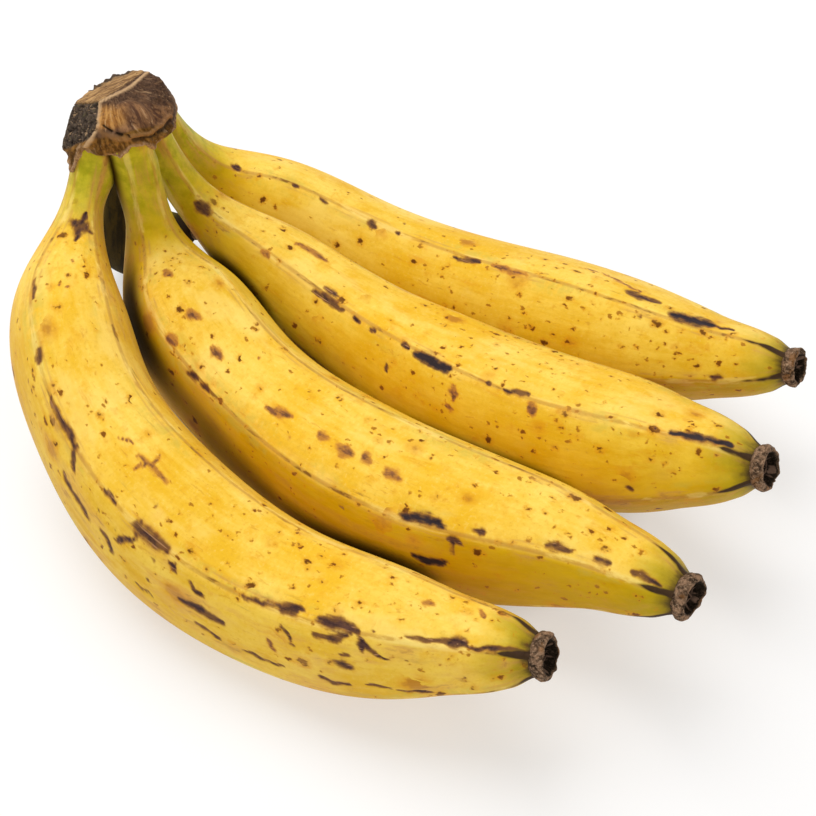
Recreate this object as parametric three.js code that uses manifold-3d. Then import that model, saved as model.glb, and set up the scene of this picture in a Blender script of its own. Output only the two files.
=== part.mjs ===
// A hand of plantains lying on its bellies, with the cut crown up at the back left. Millimetres, +Z up, the table is z = 0.
import * as THREE from "three";
import { ConvexGeometry } from "three/addons/geometries/ConvexGeometry.js";
import { mergeVertices } from "three/addons/utils/BufferGeometryUtils.js";
import Module from "manifold-3d";

const wasm = await Module();
wasm.setup();

// Driving dimensions
const GAP = 0.3; // clearance between pieces that touch
const SIDES = 24; // facets round a finger
const RINGS = 26; // rings along a finger
const RIDGE = 0.075; // how far the five long ridges stand out, as a share of the radius
const FLOWER_LENGTH = 4.5; // the dried flower end on each tip
const FLOWER_SIDES = 16;
const FLOWER_PROFILE = [[0, GAP], [5.6, GAP], [6.3, 1.4], [6.5, 2.8], [6.1, 3.9], [4.9, FLOWER_LENGTH], [3.4, 4.3], [2.4, 3.2], [0, 3]]; // radius, distance
const TABLE = { width: 400, depth: 50 }; // a block under z = 0 that the bellies are cut flat by
const ORIGIN = [-0.2, 0.5, 0]; // moves the hand so that the origin is under the middle of its box
const CROWN_CENTRE = new THREE.Vector3(-88.5, 57, 95);
const CROWN_ROUNDING = 2.5; // radius of the crown's worn edges
const VIEW_ELEVATION = 48; // the photo looks down at the hand at this angle, along +Y

// Corners of the crown from its centre: to the right, up and towards the viewer as the photo shows it
const CROWN_CORNERS = [
  [-19.2, -9.8, -8], [-14.8, -13.4, -4], [-7.6, -10.5, 2], [1.2, -12.2, 4], [11.4, -10.4, 3], [15.6, -3.8, -7], [15.4, 1.9, -14], // lower rim, left to right
  [15.8, 5.4, -9], [12.4, 12, -7], [8, 14.6, -8], [1.2, 15.4, -17], [-5, 13.9, -19], // upper edge, right to left
  [-11.4, 8.6, -14], [-15, 3.2, -5], [-15.9, -2.5, -4], // and down the left
  [-4.3, 2.1, 7], [-4.4, -6.8, 9], [7.7, -8.1, 9.3], [0.6, 5.9, 2.5], // the two faces that the photo shows
  [-15, -3, -17], [-9.5, 7, -25], [13, 9.5, -23], [12.5, 4.5, -28], // the back
];

// Each finger: control points of its spine from the stalk to the flower end, the radius at each, and the angle of its first ridge
const FINGERS = {
  plantain_1: {
    spine: [[-96.6, 58.5, 87], [-103.3, 45, 63], [-107, 18, 53], [-96, -16, 39], [-71, -46, 25], [-37, -70, 19.3], [-2, -87, 27.5], [38, -103, 42]],
    radius: [7.4, 4.6, 20.5, 19.3, 24.7, 21.2, 20.7, 6.2],
    roll: 0,
  },
  plantain_2: {
    spine: [[-84.3, 52.5, 94.5], [-84, 52, 53.5], [-74, 33, 37], [-51, 4, 26], [-20, -24, 22.6], [13.5, -47, 26], [46, -63, 37], [76.8, -87.6, 45.5]],
    radius: [6.9, 4.4, 24.5, 20.5, 24.7, 23.9, 18.1, 6.3],
    roll: -23,
  },
  plantain_3: {
    spine: [[-83.2, 66, 92], [-74.2, 70, 50], [-47.5, 59, 32.5], [-18, 36.5, 23], [13, 12.5, 21.3], [43.5, -10.5, 25], [72, -29, 37], [102.4, -47.6, 51.8]],
    radius: [5.6, 5, 16.8, 17.7, 22.8, 23.5, 21.8, 6.2],
    roll: -70,
  },
  plantain_4: {
    spine: [[-81.3, 78, 83.6], [-75.5, 93, 44], [-48, 94, 29], [-15, 79.5, 20], [21, 58.5, 18], [56, 38, 23], [87, 17, 31], [119.8, -2.5, 45.4]],
    radius: [5.4, 8, 19.5, 17.1, 20, 22.6, 17.8, 5.7],
    roll: -101,
  },
  plantain_5: {
    spine: [[-93, 71, 83], [-93.5, 74.5, 60], [-93.5, 79.5, 35], [-99, 87, 15.5], [-94, 96, 8.5], [-76, 102, 13]],
    radius: [4.4, 6, 13, 14.5, 12, 5.5],
    roll: 20,
    small: true,
  },
};

const PEEL = new THREE.MeshStandardMaterial({ color: 0xf0c030, roughness: 0.5, metalness: 0 });
const GREEN_PEEL = new THREE.MeshStandardMaterial({ color: 0x9a8a2a, roughness: 0.55, metalness: 0 });
const DRIED_FLOWER = new THREE.MeshStandardMaterial({ color: 0x4a3a2c, roughness: 0.9, metalness: 0 });
const WOOD = new THREE.MeshStandardMaterial({ color: 0x7a5230, roughness: 0.85, metalness: 0 });

// A cubic B-spline from its first control point to its last, which also carries a radius
class Spine extends THREE.Curve {
  constructor({ spine, radius }) {
    super();
    this.points = spine.map((p) => new THREE.Vector3(...p));
    this.radii = radius;
    const [before, last] = this.points.slice(-2);
    last.addScaledVector(last.clone().sub(before).normalize(), -FLOWER_LENGTH);
  }

  // The control points that matter at t, and how much each counts
  weights(t) {
    const count = this.points.length;
    const place = [0, 0, ...Array(count).keys(), count - 1, count - 1];
    const spans = place.length - 3;
    const i = Math.min(Math.floor(t * spans), spans - 1);
    const u = t * spans - i;
    const w = [(1 - u) ** 3 / 6, (3 * u ** 3 - 6 * u * u + 4) / 6, (-3 * u ** 3 + 3 * u * u + 3 * u + 1) / 6, u ** 3 / 6];
    return w.map((weight, k) => [place[i + k], weight]);
  }

  getPoint(t, target = new THREE.Vector3()) {
    target.set(0, 0, 0);
    for (const [k, w] of this.weights(t)) target.addScaledVector(this.points[k], w);
    return target;
  }

  getRadius(t) {
    return this.weights(t).reduce((sum, [k, w]) => sum + this.radii[k] * w, 0);
  }

  // Centre and the three directions at t: along the finger, across its plane of bending, and outward
  getStation(t) {
    const along = this.getPoint(Math.min(t + 0.01, 1)).sub(this.getPoint(Math.max(t - 0.01, 0))).normalize();
    const middle = this.points[Math.floor(this.points.length / 2)];
    const normal = middle.clone().sub(this.points[0]).cross(this.points.at(-1).clone().sub(middle)).normalize();
    const across = normal.addScaledVector(along, -normal.dot(along)).normalize();
    return { centre: this.getPoint(t), along, across, outward: along.clone().cross(across) };
  }
}

// Five ridges with gently rounded faces between them
function ridged(angle, roll) {
  return 1 + RIDGE * (0.36 - Math.abs(Math.sin(2.5 * (angle - THREE.MathUtils.degToRad(roll)))));
}

// The skin of a finger, swollen by grow all over: rings of points joined into a closed body
function fingerGeometry(finger, grow = 0) {
  const spine = new Spine(finger);
  const positions = [];
  const triangles = [];
  const corner = (ring, side) => ring * SIDES + (side % SIDES);
  for (let ring = 0; ring <= RINGS; ring++) {
    const { centre, along, across, outward } = spine.getStation(ring / RINGS);
    centre.addScaledVector(along, ring === 0 ? -grow : ring === RINGS ? grow : 0);
    for (let side = 0; side < SIDES; side++) {
      const angle = (2 * Math.PI * side) / SIDES;
      const r = spine.getRadius(ring / RINGS) * ridged(angle, finger.roll) + grow;
      const point = centre.clone().addScaledVector(across, r * Math.cos(angle)).addScaledVector(outward, r * Math.sin(angle));
      positions.push(...point);
      if (ring === RINGS) continue;
      triangles.push(corner(ring, side), corner(ring, side + 1), corner(ring + 1, side + 1));
      triangles.push(corner(ring, side), corner(ring + 1, side + 1), corner(ring + 1, side));
    }
    if (ring > 0 && ring < RINGS) continue;
    const middle = (RINGS + 1) * SIDES + (ring === 0 ? 0 : 1);
    for (let side = 0; side < SIDES; side++) {
      const edge = [corner(ring, side), corner(ring, side + 1)];
      triangles.push(...(ring === 0 ? edge.reverse() : edge), middle);
    }
  }
  for (const [t, reach] of [[0, -grow], [1, grow]]) {
    const { centre, along } = spine.getStation(t);
    positions.push(...centre.addScaledVector(along, reach));
  }
  const geometry = new THREE.BufferGeometry();
  geometry.setAttribute("position", new THREE.Float32BufferAttribute(positions, 3));
  geometry.setIndex(triangles);
  return geometry;
}

// To and from a solid that can be cut
function solidOf(geometry) {
  const bare = geometry.clone();
  bare.deleteAttribute("normal");
  bare.deleteAttribute("uv");
  const merged = mergeVertices(bare, 1e-4);
  return new wasm.Manifold(new wasm.Mesh({ numProp: 3, vertProperties: merged.attributes.position.array, triVerts: Uint32Array.from(merged.index.array) }));
}

function geometryOf(solid) {
  const { vertProperties, triVerts } = solid.getMesh();
  const geometry = new THREE.BufferGeometry();
  geometry.setAttribute("position", new THREE.BufferAttribute(vertProperties, 3));
  geometry.setIndex(Array.from(triVerts));
  geometry.computeVertexNormals();
  return geometry;
}

// A finger lies on the table, so its belly is pressed flat there
function fingerMesh(name, finger) {
  const table = new THREE.BoxGeometry(TABLE.width, TABLE.width, TABLE.depth).translate(0, 0, -TABLE.depth / 2);
  const mesh = new THREE.Mesh(geometryOf(solidOf(fingerGeometry(finger)).subtract(solidOf(table))), finger.small ? GREEN_PEEL : PEEL);
  mesh.name = name;
  return mesh;
}

// The dried flower end: a ring with a hollow in the middle, set on the tip
function flowerEndMesh(name, finger) {
  const spine = new Spine(finger);
  const size = spine.getRadius(1) / 6.2;
  const profile = FLOWER_PROFILE.map(([r, distance]) => new THREE.Vector2(r * size, distance));
  const mesh = new THREE.Mesh(new THREE.LatheGeometry(profile, FLOWER_SIDES), DRIED_FLOWER);
  const { centre, along } = spine.getStation(1);
  mesh.name = name;
  mesh.position.copy(centre);
  mesh.quaternion.setFromUnitVectors(new THREE.Vector3(0, 1, 0), along);
  return mesh;
}

// The crown: a woody block with worn edges over the stalks, and a socket for each stalk
function crownMesh(name, fingers) {
  const tilt = THREE.MathUtils.degToRad(VIEW_ELEVATION);
  const up = new THREE.Vector3(0, Math.sin(tilt), Math.cos(tilt));
  const towards = new THREE.Vector3(0, -Math.cos(tilt), Math.sin(tilt));
  const knob = new THREE.SphereGeometry(CROWN_ROUNDING, 12, 8).attributes.position;
  const points = CROWN_CORNERS.flatMap(([right, rise, near]) => {
    const corner = new THREE.Vector3(right, 0, 0).addScaledVector(up, rise).addScaledVector(towards, near);
    corner.setLength(corner.length() - CROWN_ROUNDING);
    return Array.from({ length: knob.count }, (_, i) => new THREE.Vector3().fromBufferAttribute(knob, i).add(corner));
  });
  const block = new ConvexGeometry(points).translate(...CROWN_CENTRE);
  const crown = fingers.reduce((solid, finger) => solid.subtract(solidOf(fingerGeometry(finger, GAP))), solidOf(block));
  const mesh = new THREE.Mesh(geometryOf(crown), WOOD);
  mesh.name = name;
  return mesh;
}

const hand = new THREE.Group();
hand.position.set(...ORIGIN);
Object.entries(FINGERS).forEach(([name, finger], i) => {
  const group = new THREE.Group();
  group.add(fingerMesh(name, finger), flowerEndMesh(`flower_end_${i + 1}`, finger));
  hand.add(group);
});
hand.add(crownMesh("crown", Object.values(FINGERS)));

export default hand;
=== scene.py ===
# A hand of ripe plantains lying on a white table, with its cut crown up at the back left.
import math
from contextlib import contextmanager

import bmesh
import bpy
import numpy as np
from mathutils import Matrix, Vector, noise


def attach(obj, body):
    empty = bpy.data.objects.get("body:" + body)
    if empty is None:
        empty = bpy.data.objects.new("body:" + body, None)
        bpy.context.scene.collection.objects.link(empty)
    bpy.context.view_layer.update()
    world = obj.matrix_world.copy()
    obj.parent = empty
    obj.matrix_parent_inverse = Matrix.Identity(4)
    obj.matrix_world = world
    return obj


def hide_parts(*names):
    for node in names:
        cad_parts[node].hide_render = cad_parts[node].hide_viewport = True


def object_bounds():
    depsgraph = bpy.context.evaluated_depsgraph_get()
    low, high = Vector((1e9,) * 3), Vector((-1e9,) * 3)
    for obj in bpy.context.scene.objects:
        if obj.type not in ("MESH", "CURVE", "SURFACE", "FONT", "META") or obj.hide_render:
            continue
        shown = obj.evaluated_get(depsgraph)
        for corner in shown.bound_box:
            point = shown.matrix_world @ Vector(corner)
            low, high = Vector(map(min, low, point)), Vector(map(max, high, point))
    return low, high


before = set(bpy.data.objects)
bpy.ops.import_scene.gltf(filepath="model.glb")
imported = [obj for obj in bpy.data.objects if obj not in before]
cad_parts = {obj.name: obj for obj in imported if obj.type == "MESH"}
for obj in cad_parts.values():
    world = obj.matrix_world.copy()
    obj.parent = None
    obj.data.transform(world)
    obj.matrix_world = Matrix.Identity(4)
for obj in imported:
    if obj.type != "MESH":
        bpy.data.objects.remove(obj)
cad_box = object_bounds()

MM = 0.001

# Where the photograph was taken from
VIEW_ELEVATION = math.radians(48)
VIEW_DISTANCE = 505 * MM
VIEW_TARGET = Vector((-0.2, 22.5, 0)) * MM
LENS = 66.2
SENSOR = 36.0

RIGHT = np.array([1.0, 0.0, 0.0])
RISE = np.array([0.0, math.sin(VIEW_ELEVATION), math.cos(VIEW_ELEVATION)])
TOWARDS = np.array([0.0, -math.cos(VIEW_ELEVATION), math.sin(VIEW_ELEVATION)])

# The frame's origin against the numbers below, and the length of a dried flower end, in mm
ORIGIN = np.array([-0.2, 0.5, 0.0])
FLOWER_LENGTH = 4.5
# How many ridges a finger has and how far they stand out, as a share of its radius
RIDGES = 5
RIDGE_HEIGHT = 0.075
# How much fuller a finger is just behind its flower end, and how deep a mark sinks in, in mm
TIP_SHOULDER = 1.3
MARK_DEPTH = 0.35
# Rows and columns of the grids that are rolled up into the pieces, and how near its end a row is a pole
FINGER_GRID = (360, 180)
SMALL_FINGER_GRID = (120, 96)
SLEEVE_GRID = (60, 72)
FLOWER_GRID = (72, 144)
POLE = 1e-6
# How far from its neighbours a finger falls into shade, in mm, at shares of the way from stalk to tip
CREVICE = {
    "plantain_1": ((0, 4.0), (1, 4.0)),
    "plantain_2": ((0.1, 7.0), (0.2, 11.0), (0.34, 12.0), (0.46, 12.5), (0.54, 5.5), (1, 4.0)),
    "plantain_3": ((0, 4.5), (1, 4.5)),
    "plantain_4": ((0, 4.5), (1, 4.5)),
    "plantain_5": ((0, 8.0), (1, 8.0)),
}
# How strong the painted shade on a finger's flanks and underside is, where it isn't the whole
FLANK_SHADE_STRENGTH = {"plantain_1": 0.3}
# How far up a side of the peel faces where the painted shade on its flanks starts, from 1, flat on top, to
# 0
FLANK_SHADE_START = {"plantain_3": 0.8, "plantain_4": 0.92}
# How rubbed a finger's flanks are
RUBBED = {"plantain_1": 1.0, "plantain_2": 0.35, "plantain_3": 0.35, "plantain_4": 0.5}
# Where stalks lean together: the side that swells, its mm, and where that starts, is whole, fades, ends
STALK_SWELLS = {
    "plantain_1": [(1, 2.8, -0.02, -0.01, 0.15, 0.21)],
    "plantain_2": [(-1, 2.2, -0.02, -0.01, 0.165, 0.22), (1, 1.3, 0.12, 0.15, 0.17, 0.25)],
    "plantain_3": [(-1, 1.6, 0.145, 0.17, 0.19, 0.28)],
}

# Spine points from stalk to tip, the radius at each, and the angle of the first ridge in degrees
FINGERS = {
    "plantain_1": {
        "spine": [(-96.6, 58.5, 87), (-103.3, 45, 63), (-107, 18, 53), (-96, -16, 39),
                  (-71, -46, 25), (-37, -70, 19.3), (-2, -87, 27.5), (38, -103, 42)],
        "radius": [7.4, 4.6, 20.5, 19.3, 24.7, 21.2, 20.7, 6.2],
        "roll": 0,
    },
    "plantain_2": {
        "spine": [(-84.3, 52.5, 94.5), (-84, 52, 53.5), (-74, 33, 37), (-51, 4, 26),
                  (-20, -24, 22.6), (13.5, -47, 26), (46, -63, 37), (76.8, -87.6, 45.5)],
        "radius": [6.9, 4.4, 24.5, 20.5, 24.7, 23.9, 18.1, 6.3],
        "roll": -23,
    },
    "plantain_3": {
        "spine": [(-83.2, 66, 92), (-74.2, 70, 50), (-47.5, 59, 32.5), (-18, 36.5, 23),
                  (13, 12.5, 21.3), (43.5, -10.5, 25), (72, -29, 37), (102.4, -47.6, 51.8)],
        "radius": [5.6, 5, 16.8, 17.7, 22.8, 23.5, 21.8, 6.2],
        "roll": -70,
    },
    "plantain_4": {
        "spine": [(-81.3, 78, 83.6), (-75.5, 93, 44), (-48, 94, 29), (-15, 79.5, 20),
                  (21, 58.5, 18), (56, 38, 23), (87, 17, 31), (119.8, -2.5, 45.4)],
        "radius": [5.4, 8, 19.5, 17.1, 20, 22.6, 17.8, 5.7],
        "roll": -101,
    },
    "plantain_5": {
        "spine": [(-93, 71, 83), (-93.5, 74.5, 60), (-93.5, 79.5, 35), (-99, 87, 15.5),
                  (-94, 96, 8.5), (-76, 102, 13)],
        "radius": [4.4, 6, 13, 14.5, 12, 5.5],
        "roll": 20,
    },
}

# Marks on the peel: width in mm, then thousandths of the way to the tip and degrees round, by turns
BRUISES = {
    "plantain_1": [
        (4.7, 235, -28, 242, -58), (1.6, 238, -43, 215, -48), (1.9, 238, -43, 263, -37),
        (1.6, 240, -51, 245, -67), (1.2, 325, -1, 348, -3), (2.4, 395, -3, 405, -1), (1.5, 435, 0, 455, 1),
        (2.4, 455, 1, 468, -1, 480, 0), (1.8, 480, 0, 492, 13), (1.8, 485, 27, 500, 30, 520, 31),
        (3.8, 560, 1, 575, 0, 590, 0), (1.8, 552, 24, 565, 9), (1.8, 562, -3, 565, 9),
        (1.5, 522, 0, 537, -1), (1.2, 560, -19), (1.5, 585, 13), (1.5, 603, 6),
        (2.3, 615, 30, 635, 28, 655, 30), (1.4, 630, 46, 652, 48), (1.4, 655, -1),
        (1.7, 665, -1, 705, -3, 720, -7), (2.8, 698, -3, 715, -4), (2.8, 735, -3, 750, -3, 763, -1),
        (1.7, 733, 9, 750, 9, 768, -1), (1.1, 768, -1, 775, 10, 790, 21), (2.8, 750, 30, 760, 33),
        (2.0, 713, 24), (1.3, 805, -4, 820, -4, 835, -6), (2.4, 835, -7, 853, -6),
        (1.1, 853, -4, 893, -6, 990, -7), (1.8, 900, -6, 922, -7), (1.4, 735, 49, 745, 54, 758, 54),
        (1.1, 672, 49, 688, 51, 705, 51), (0.9, 772, 52, 790, 55), (0.9, 795, 58, 818, 63),
        (1.6, 508, 30, 525, 33), (1.5, 535, 28, 545, 31, 552, 39), (1.0, 578, 48, 593, 48),
        (1.2, 620, 10, 625, 15, 633, 15), (1.5, 598, 6, 608, 9), (1.0, 585, 33, 590, 34),
        (1.4, 772, 4, 772, 15), (0.9, 705, 10, 713, 19), (1.4, 753, 22, 760, 22), (1.1, 848, 43),
        (1.1, 805, 21), (1.2, 527, 16), (1.2, 547, 16), (1.1, 782, -3),
    ],
    "plantain_2": [
        (2.2, 417, -19, 427, -22), (1.6, 432, -21, 443, -22), (1.7, 718, -28, 728, -28),
        (2.2, 782, -31, 800, -34), (1.9, 823, -34, 838, -36), (1.6, 863, -37, 907, -36),
        (2.0, 698, -19, 708, -16), (1.4, 703, -16, 698, -7), (1.5, 600, -13),
    ],
    "plantain_3": [
        (4.0, 225, -60, 240, -61), (2.0, 415, -76, 432, -76), (2.0, 408, -66, 425, -67, 445, -66),
        (1.6, 460, -66, 468, -66), (1.6, 482, -67, 487, -67), (1.9, 522, -67, 530, -69),
        (1.6, 625, -70, 630, -70), (1.9, 647, -70, 660, -72, 672, -72), (1.6, 517, -45, 520, -40),
        (1.5, 805, -73), (2.4, 787, -12), (1.2, 713, -40), (1.2, 728, -40), (1.2, 748, -39),
    ],
    "plantain_4": [
        (2.8, 245, -108, 258, -103), (1.4, 345, -99, 355, -99), (1.4, 385, -99, 395, -97),
        (2.5, 448, -97, 458, -97), (1.4, 480, -99, 485, -99), (1.4, 480, -118),
        (1.7, 547, -97, 560, -97, 575, -99), (2.6, 725, -120, 740, -118, 758, -120), (2.3, 750, -94),
        (1.3, 820, -114, 843, -118), (2.2, 830, -36, 840, -34),
    ],
}
BLACK_SCARS = {
    "plantain_2": [(2.6, 654, -25, 672, -27, 690, -27), (2.3, 667, 4, 680, 6, 693, 3)],
    "plantain_3": [(2.9, 542, -67, 560, -67, 580, -67), (2.0, 820, -72, 843, -75, 890, -81)],
    "plantain_4": [(3.8, 780, -109, 797, -112, 820, -115)],
}
BROWN_BLOTCHES = {
    "plantain_1": [
        (1.2, 495, -33, 505, -39), (1.8, 517, -36, 535, -37, 552, -37),
        (1.2, 525, -28, 532, -39, 527, -48), (1.5, 333, -27), (1.5, 338, -36), (1.6, 302, -40),
        (1.9, 807, -42, 815, -45), (1.1, 853, -57, 860, -48), (1.3, 693, 27, 700, 36),
    ],
    "plantain_2": [
        (2.9, 367, -49, 380, -54), (2.9, 415, -48, 427, -48), (2.3, 292, -48, 305, -52),
        (2.2, 495, -45, 510, -48, 520, -52), (1.8, 530, -37), (2.7, 550, -51, 557, -51),
        (3.6, 575, -49, 585, -49), (2.7, 598, -54, 605, -51), (3.3, 623, -51, 638, -49), (1.6, 453, -70),
        (2.6, 375, -25, 388, -27),
    ],
    "plantain_3": [
        (2.3, 352, -106, 370, -109, 390, -108), (2.9, 595, -57, 598, -49), (3.1, 680, -66, 685, -61),
        (2.5, 593, -39, 598, -40), (2.0, 328, -66, 338, -66),
    ],
    "plantain_4": [
        (1.7, 590, -99, 608, -99, 628, -99), (1.3, 688, -138, 710, -132, 735, -126),
        (1.0, 670, -136, 685, -138),
    ],
}
# Freckles: cells in a metre, share of them with one, size, softness and halo in cells, strength, tone
FRECKLES = [
    (95, 0.4, 0.17, 0.08, 0.26, 0.65, (172, 106, 36)), (185, 0.42, 0.17, 0.05, 0.24, 0.95, (94, 46, 16)),
    (300, 0.36, 0.17, 0.06, 0.22, 0.92, (116, 60, 18)), (520, 0.2, 0.24, 0.1, 0.2, 0.75, (146, 90, 24)),
]

# The crown's middle, and where its skin ends on each stalk: degrees round it, share of the way to the tip
CROWN_CENTRE = np.array([-88.5, 57.0, 95.0]) + ORIGIN
SKIN_ENDS = {
    "plantain_1": [(-180, 0.125), (-127, 0.115), (-68, 0.086), (-34, 0.088), (-12, 0.11), (3, 0.143),
                   (14, 0.163), (24, 0.15), (50, 0.146), (90, 0.13), (180, 0.125)],
    "plantain_2": [(-180, 0.11), (-112, 0.118), (-73, 0.084), (-45, 0.082), (-8, 0.118), (180, 0.11)],
    "plantain_3": [(-180, 0.125), (-140, 0.14), (-62, 0.122), (-31, 0.14), (60, 0.12), (180, 0.125)],
    "plantain_4": [(-180, 0.1), (-141, 0.095), (-96, 0.1), (-73, 0.12), (0, 0.11), (180, 0.1)],
    "plantain_5": [(-180, 0.12), (180, 0.12)],
}
# Its skin, voxels and where its relief fades at the top, in mm, with the stations along a whole finger
SKIN_THICKNESS = 0.6
CROWN_VOXEL = 0.4
STATIONS = 500
CROWN_TOP = (98, 101)

# Lines on the crown, as right and up from its middle in the photograph's plane, in mm
CUT_EDGE = [(-4.2, 2.4), (-2.3, 3.5), (0.8, 5.8), (3.7, 8.1), (6.1, 11.2), (8.2, 14.4)]
PALE_BORDER = [(-4.4, 2.2), (-4.5, -1.7), (-4.6, -5.8), (-6.6, -8.4), (-9.5, -10.6), (-12, -12.5)]
BORDER_FOOT = [(-4.6, -5.8), (-2.6, -7.6), (1.6, -8.9), (7.4, -9.4)]
FACE_CRACK = [(-3.0, -4.4), (-1.9, -5.7), (0, -7.2), (3.3, -8.2), (5.6, -8.5)]
FACE_LIP = [(5.6, -8.5), (8.2, -8.1), (10.8, -6.6), (13.6, -3.2), (15.2, 0.5)]
BARK_RIM = [(-15, 3.4), (-11.4, 8.6), (-5, 13.9), (1.2, 15.4), (4.5, 15.2)]
FIBRE_ROOT = (-2.0, 9.0)
# The way that the fibres run in the cut on top, as right, up and towards the viewer
CUT_GRAIN = np.array((0.89, 0.44, -0.12))
# How far the crown's lines, left face and torn rim stand out, in mm, and how its creases are drawn out
CROWN_RELIEF = {"crack": -0.8, "lip": 0.5, "below_lip": -0.9, "pale": 0.35, "foot": 0.3, "left": -0.3}
CREASE_RELIEF = -0.7
TORN_RIM = 1.3
CREASE_WAYS = np.array([(0.5, 0.25, 0.2), (0.9, -0.6, 0.3), (0, 0.3, 1)])

# A dried flower end: radius and distance from the tip, from the peel round the lip and into the hollow
FLOWER_PROFILE = [(4.8, -1.2), (5.6, -0.4), (6.3, 0.4), (6.7, 1.4), (6.6, 2.4), (6.2, 3.3), (5.4, 3.9),
                  (4.7, 3.6), (4.3, 2.6), (3.8, 1.5), (2.8, 0.8), (1.6, 1.2), (0, 2.0)]
# How far out and up a flower end may go, and the radius of the tip that it is drawn for
FLOWER_REACH = 6.9
FLOWER_RISE = 4.4
FLOWER_TIP = 6.2

# The faint glow of the table outside an oval under the hand, which lightens the shadow
GLOW_SHIFT = (0.0164, -0.0044, 0)
GLOW_TURN = math.radians(30)
GLOW_OVAL = (0.078, 0.06)
GLOW_STRENGTH = 0.48
# Half the side of the table, in m
TABLE_SIZE = 3

# Place, size and power of each soft light, what they point at, and the light all round
LIGHTS = {
    "key from the upper left": ((-0.4, 0.42, 1.15), 1.1, 12),
    "fill from the front": ((0.3, -1.0, 0.9), 1.2, 3),
}
LIGHT_TARGET = (0, 0, 0.03)
STUDIO_STRENGTH = 0.5


def spline_weights(count, t):
    """How much each control point counts at every t, for a cubic B-spline held at both ends."""
    place = np.array([0, 0, *range(count), count - 1, count - 1])
    spans = len(place) - 3
    i = np.minimum((t * spans).astype(int), spans - 1)
    u = t * spans - i
    blend = [(1 - u) ** 3 / 6, (3 * u**3 - 6 * u * u + 4) / 6,
             (-3 * u**3 + 3 * u * u + 3 * u + 1) / 6, u**3 / 6]
    weights = np.zeros((len(t), count))
    for k in range(4):
        np.add.at(weights, (np.arange(len(t)), place[i + k]), blend[k])
    return weights


class Spine:
    """The middle line of a finger, with its girth and the directions across it, in mm."""

    def __init__(self, finger):
        self.points = np.array(finger["spine"], float) + ORIGIN
        self.radii = np.array(finger["radius"], float)
        self.roll = math.radians(finger["roll"])
        end = self.points[-1] - self.points[-2]
        self.points[-1] -= end / np.linalg.norm(end) * FLOWER_LENGTH
        middle = self.points[len(self.points) // 2]
        normal = np.cross(middle - self.points[0], self.points[-1] - middle)
        self.normal = normal / np.linalg.norm(normal)

    def at(self, t):
        """Centres, radii and the directions along, across and outward at each t."""
        count = len(self.points)
        weights = spline_weights(count, t)
        ahead = spline_weights(count, np.minimum(t + 0.01, 1)) @ self.points
        behind = spline_weights(count, np.maximum(t - 0.01, 0)) @ self.points
        along = ahead - behind
        along /= np.linalg.norm(along, axis=1)[:, None]
        across = self.normal - (along @ self.normal)[:, None] * along
        across /= np.linalg.norm(across, axis=1)[:, None]
        return weights @ self.points, weights @ self.radii, along, across, np.cross(along, across)

    def lengths(self, t):
        """Distance along the spine at each t."""
        fine = np.linspace(0, 1, 800)
        centres = spline_weights(len(self.points), fine) @ self.points
        steps = np.linalg.norm(np.diff(centres, axis=0), axis=1)
        return np.interp(t, fine, np.concatenate([[0], np.cumsum(steps)]))


# Steps, noise, meshes and grids

def smooth(value, low, high):
    x = np.clip((value - low) / (high - low), 0, 1)
    return x * x * (3 - 2 * x)


def noise_field(points, scale, seed):
    """Soft noise from -1 to 1 at each point, given in mm, with features about scale mm wide."""
    shift = Vector((seed * 13.1, seed * 7.7, seed * 3.3))
    return np.array([noise.noise(Vector(p) / scale + shift) for p in points])


def set_attributes(mesh, **fields):
    for name, values in fields.items():
        kind, field = ("FLOAT_VECTOR", "vector") if values.ndim == 2 else ("FLOAT", "value")
        layer = mesh.attributes.new(name, kind, "POINT")
        layer.data.foreach_set(field, values.astype(np.float32).ravel())


def read_points(mesh, what="co"):
    values = np.zeros(len(mesh.vertices) * 3)
    mesh.vertices.foreach_get(what, values)
    return values.reshape(-1, 3)


def write_points(mesh, points):
    """Moves a mesh's vertices to points given in mm."""
    mesh.vertices.foreach_set("co", (points * MM).ravel())


def finish_piece(obj, material, node):
    """Puts a new piece in the scene in place of its CAD node."""
    obj.data.materials.append(material)
    for polygon in obj.data.polygons:
        polygon.use_smooth = True
    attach(obj, "root")
    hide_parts(node)


def new_object(name, data):
    obj = bpy.data.objects.new(name, data)
    bpy.context.scene.collection.objects.link(obj)
    return obj


@contextmanager
def shaping(mesh):
    """A mesh opened for bmesh's operators, and written back."""
    bm = bmesh.new()
    bm.from_mesh(mesh)
    yield bm
    bm.to_mesh(mesh)
    bm.free()


def close_up(mesh):
    """Joins the seam and the poles of a rolled-up grid and points its faces outwards."""
    with shaping(mesh) as bm:
        bmesh.ops.remove_doubles(bm, verts=bm.verts, dist=0.00001)
        bmesh.ops.recalc_face_normals(bm, faces=bm.faces)


def rolled_grid(name, grid):
    """A flat grid with a UV map, one row for each ring and one column for each side."""
    rings, sides = grid
    mesh = bpy.data.meshes.new(name)
    with shaping(mesh) as bm:
        bmesh.ops.create_grid(bm, x_segments=sides, y_segments=rings, size=0.5, calc_uvs=True)
    flat = read_points(mesh)
    return mesh, flat[:, 0] + 0.5, flat[:, 1] + 0.5


def pinch_poles(v, reach):
    """Draws the first and the last ring in to the middle."""
    return np.where((v < POLE) | (v > 1 - POLE), 0, reach)


def around(centre, across, outward, angle, reach):
    """Points at an angle and a distance from a middle line."""
    place = centre + across * (reach * np.cos(angle))[:, None]
    return place + outward * (reach * np.sin(angle))[:, None]


def squares_between(points, centres):
    """The square of the distance from every point to every centre."""
    return (points**2).sum(1)[:, None] + (centres**2).sum(1)[None] - 2 * points @ centres.T


# Peel

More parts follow.
